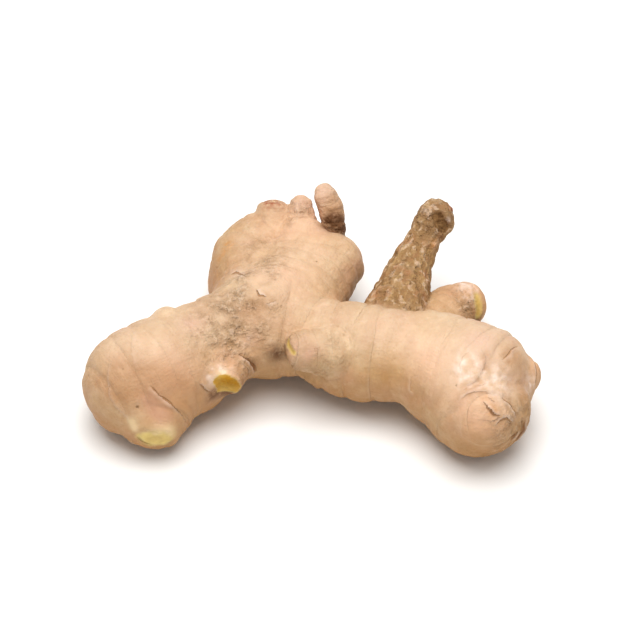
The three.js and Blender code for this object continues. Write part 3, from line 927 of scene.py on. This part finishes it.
# %% Lay the skin's colours
def laid_over(colour, washes):
    """Each wash is a colour, a strength and patterns. By factor = strength x patterns, the result is
    (1 - factor) colour + factor wash, one wash after the other."""
    for wash, strength, *patterns in washes:
        wash = linear(wash) if isinstance(wash, str) else wash
        colour = add("Mix", {0: overlap(strength, *patterns), 6: colour, 7: wash}, 2, data_type="RGBA")
    return colour


height_above = add("SeparateXYZ", {0: where}, "Z")  # m above the table
# painted light: a mask that rises towards the top of the hand
painted_light_on_top = add("MapRange", {0: height_above, 1: 0.026, 2: 0.037})
# painted shade: a mask that rises towards the table
painted_shade_below = add("MapRange", {0: height_above, 1: 0.027, 2: 0.006})
low_flakes = add("MapRange", {0: scales, 1: 0.55, 2: 0.25})
high_flakes = add("MapRange", {0: scales, 1: 0.6, 2: 0.85})
flaky = overlap(known["pale"], mottle(2.8, 13.0, 3.0, 0.3, 0.6))
dry_edges = add("Math", {0: flaky, 1: flap_edge}, operation="MAXIMUM")
colour = laid_over(linear("#c79f76"), [
    ("#caa777", 1.0, mottle(22, 1.0)),  # tan, and yellower tan
    ("#d3a089", 0.7, mottle(13, 2.0)),  # pink patches
    ("#e3c8a2", 0.7, mottle(9, 3.0, 3.0)),  # cream patches
    ("#efcfb4", 0.35, mottle(1.7, 21.0, 3.0, 0.56, 0.7)),  # pale flecks
    ("#ad8352", 0.45, known["ringed"], fraction, fraction),  # older skin before each ring
    ("#b58a5f", 0.45, mottle(3.2, 4.0, 3.0)),  # tan mottling
    ("#ab7d50", 0.35, mottle(0.9, 5.0, 2.0, 0.55, 0.7)),  # specks
    ("#b0865a", 0.1, strands),
    ("#b0865a", 0.1, tucks),
    # young, thin skin, and painted light on a front-facing bud and side
    ("#e6b592", 0.75, known["pink"]),
    ("#d09c8e", 0.5, known["mauve"]),
    # painted reflected light: a warm tint in shade
    ("#bb8433", 0.33, known["warm_bounce"]),
    ("#b98d66", 0.22, known["streak"]),  # along the rings
    ("#e1c8af", 0.42, painted_light_on_top),  # painted highlight: paler towards the top
    ("#a66f24", 0.68, painted_shade_below),  # painted shade: darker towards the bottom
    # old, thick skin, and painted shade
    ("#b07f55", 0.6, known["tan"]),
    ("#936f4b", 0.58, known["rough"], mottle(2.2, 6.0, 4.0, 0.1, 0.7)),  # dried out
    ("#ecd0a2", 0.75, known["cream"]),
    ("#916a35", 0.74, known["old"]),  # the old stem
    ("#d9b47d", 0.32, pale_strings),
    ("#b27653", 0.4, known["old"], mottle(4.0, 20.0, 2.0, 0.5, 0.65)),  # its redder places
    ("#6d4b28", 0.5, pitted),
    ("#7f5f3d", 0.65, known["taupe"]),
    ("#dcbd9d", 0.35, known["raised"]),  # painted highlight on the ridges, partly rubbed pale skin
    ("#916a45", 0.36, known["sunken"]),  # painted shade between them
    ("#946f4a", 0.5, crumbled, low_flakes),  # painted shade between the flakes
    ("#efd2b6", 0.4, crumbled, high_flakes),  # painted highlight on the flakes' tips, partly pale dry skin
    # painted shade, dark brown in corners and under knobs, with some soil
    ("#5c3412", 0.9, known["soil_and_shade"], mottle(1.4, 9.0, 3.0, 0.15, 0.5)),
    ("#6a482c", 0.28, known["rough"], mottle(0.8, 12.0, 3.0, 0.55, 0.68)),  # soil in the wrinkles
    ("#c98741", 1.0, known["orange"], mottle(1.6, 7.0, 3.0, 0.3, 0.8)),
    ("#9c5a3c", 1.0, known["red"], mottle(1.6, 14.0, 3.0, 0.3, 0.6)),
    ("#f8e2d2", 0.75, dry_edges),  # loose dry skin and the edges of flaps
    ("#f0dab6", 0.22, ring_lip),
    ("#8a5f38", 0.45, ring_groove, frayed),
    ("#6e4220", 0.65, seam, frayed),  # the crease round a bud
])
print("washes of the skin:", len(tree.nodes), "nodes so far")

# %% Lay the tears, the pores and the hollow over them
fold_brown = laid_over(linear("#b98658"), [("#74451c", 1.0, known["gaping"])])  # darker in a deeper fold
hollow_brown = laid_over(linear("#64421f"), [("#8f6a41", 1.0, mottle(1.8, 15.0, 2.0))])
crumbling = add("Math", {0: known["dark"], 1: mottle(1.2, 16.0, 3.0, 0.2, 3.0)}, operation="ADD")
colour = laid_over(colour, [
    (fold_brown, 0.7, split),
    ("#6b4c30", 0.6, pores),
    (hollow_brown, 1.0, add("MapRange", {0: crumbling, 1: 0.45, 2: 0.7})),  # the hollow and the deep pits
])
print("skin colours:", len(tree.nodes), "nodes so far")

# %% [markdown]
# ## Bare flesh
# Inside, ginger is yellow and juicy, with pale fibres cut across and a drier, paler rim. It shows only on
# the cut ends, so it is laid over the skin by the attribute of the cut faces.

# %% Lay the flesh over the skin
bare = laid_over(linear("#f0db86"), [
    ("#ba8206", 1.0, known["tone"]),
    ("#dcbf6c", 0.2, mottle(0.9, 9.0, 1.0, 0.5, 0.8)),
    ("#94660f", 0.35, mottle(3, 8.0, 3.0)),
])
colour = laid_over(colour, [(bare, 1.0, known["flesh"])])
tree.links.new(colour, shader.inputs["Base Color"])
print("colours:", len(tree.nodes), "nodes so far")

# %% [markdown]
# ## Sheen and fine relief
# The skin has a dull waxy sheen, and is quite matt where it has dried out. A little light goes into the
# flesh below and comes out again, which softens the shading. Details thinner than the net's squares are
# left to the light: the sharp edge of a ring or a flap, and the fine grain of the cork. They only tilt the
# surface as it is shaded, so that they cost no corners.

# %% Add the sheen and the fine relief
dull = add("MapRange", {0: known["rough"], 1: 0.0, 2: 1.0, 3: 0.56, 4: 0.85})
tree.links.new(dull, shader.inputs["Roughness"])
weaker = add("MapRange", {0: known["old"], 1: 0.0, 2: 1.0, 3: 1.2, 4: 0.35})  # flakes on the old stem
thin_height = 0.0
for raised_by, pattern in [(0.14, ring_lip), (0.3, flap_edge), (0.06, strands), (0.25, pale_strings),
                           (1.0, overlap(scales, crumbled, weaker)), (-0.1, tucks), (-0.2, ring_groove),
                           (-0.3, split), (-0.3, pores), (-0.3, pitted)]:  # mm
    thin_height = add("Math", {0: pattern, 1: raised_by, 2: thin_height}, operation="MULTIPLY_ADD")
thin = add("Bump", {"Height": thin_height, "Strength": 1.0, "Distance": 0.001})
cork = add("TexNoise", {"Vector": where, "Scale": 1000 / 0.9, "Detail": 4.0})
harsh = add("MapRange", {0: known["rough"], 1: 0.0, 2: 1.0, 3: 0.3, 4: 1.0})
grain = add("Bump", {"Height": cork, "Strength": harsh, "Distance": 0.0006, "Normal": thin})
tree.links.new(grain, shader.inputs["Normal"])
shader.inputs["IOR"].default_value = 1.45
shader.inputs["Specular IOR Level"].default_value = 0.3
shader.inputs["Subsurface Weight"].default_value = 0.1
shader.inputs["Subsurface Radius"].default_value = (1.0, 0.55, 0.25)
shader.inputs["Subsurface Scale"].default_value = 0.0015
skin_mesh.materials.append(skin_finish)
print("skin nodes:", len(tree.nodes))

# %% [markdown]
# ## Floor, light and camera
# The hand lies on a plain pale floor under a soft studio light from above. The camera looks down at it at
# 45 degrees from the front with a long lens, so that the near fingers aren't drawn large.

# %% Lay the floor
FLOOR_HALF = 3.0  # m
floor_mesh = bpy.data.meshes.new("floor")
corners = [(-1, -1, 0), (1, -1, 0), (1, 1, 0), (-1, 1, 0)]
floor_mesh.from_pydata([[FLOOR_HALF * c for c in corner] for corner in corners], [], [(0, 1, 2, 3)])
floor = bpy.data.objects.new("floor", floor_mesh)
bpy.context.scene.collection.objects.link(floor)
floor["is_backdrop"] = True
floor_finish = bpy.data.materials.new("white paint, matt, rolled")
floor_finish.use_nodes = True
paint = floor_finish.node_tree.nodes["Principled BSDF"]
paint.inputs["Base Color"].default_value = linear("#f4f3f1")
paint.inputs["Roughness"].default_value = 0.9
floor_mesh.materials.append(floor_finish)
print("floor:", 2 * FLOOR_HALF, "m wide")

# %% Light the studio
world = bpy.data.worlds.new("studio")
world.use_nodes = True
world.node_tree.nodes["Background"].inputs["Color"].default_value = linear("#fdfcfa")
world.node_tree.nodes["Background"].inputs["Strength"].default_value = 0.42
bpy.context.scene.world = world

key_light = bpy.data.lights.new("soft box", "AREA")
key_light.size, key_light.energy = 0.7, 8.3  # m, W
key = bpy.data.objects.new("soft box", key_light)
key.location = (-0.02, -0.02, 0.8)
key.rotation_euler = (-key.location).to_track_quat("-Z", "Y").to_euler()
bpy.context.scene.collection.objects.link(key)
print("soft box", round(key_light.size, 2), "m wide,", round(key.location.z, 2), "m above the table")

# %% Aim the camera
import math

from mathutils import Vector

ELEVATION, DISTANCE = math.radians(45), 0.65  # radians above the floor, m
AIM = Vector((0.0028, 0.0028, 0.018))  # m
camera_data = bpy.data.cameras.new("camera")
camera_data.sensor_width, camera_data.lens = 36, 111.64  # mm
camera = bpy.data.objects.new("camera", camera_data)
camera.location = AIM + DISTANCE * Vector((0, -math.cos(ELEVATION), math.sin(ELEVATION)))
camera.rotation_euler = (math.pi / 2 - ELEVATION, 0, 0)
bpy.context.scene.collection.objects.link(camera)
bpy.context.scene.camera = camera
bpy.context.scene.view_settings.view_transform = "Standard"
print("camera at", [round(c, 3) for c in camera.location], "m")

# %% [markdown]
# ## The box of the plain solid is printed once more, to read against the dressed hand's box printed above.
# The box of the dressed hand is compared with the box of the plain solid, and both are kept.

# %% Print the solid's box
print("solid box in mm:", (1000 * solid_low).round(2), (1000 * solid_high).round(2))
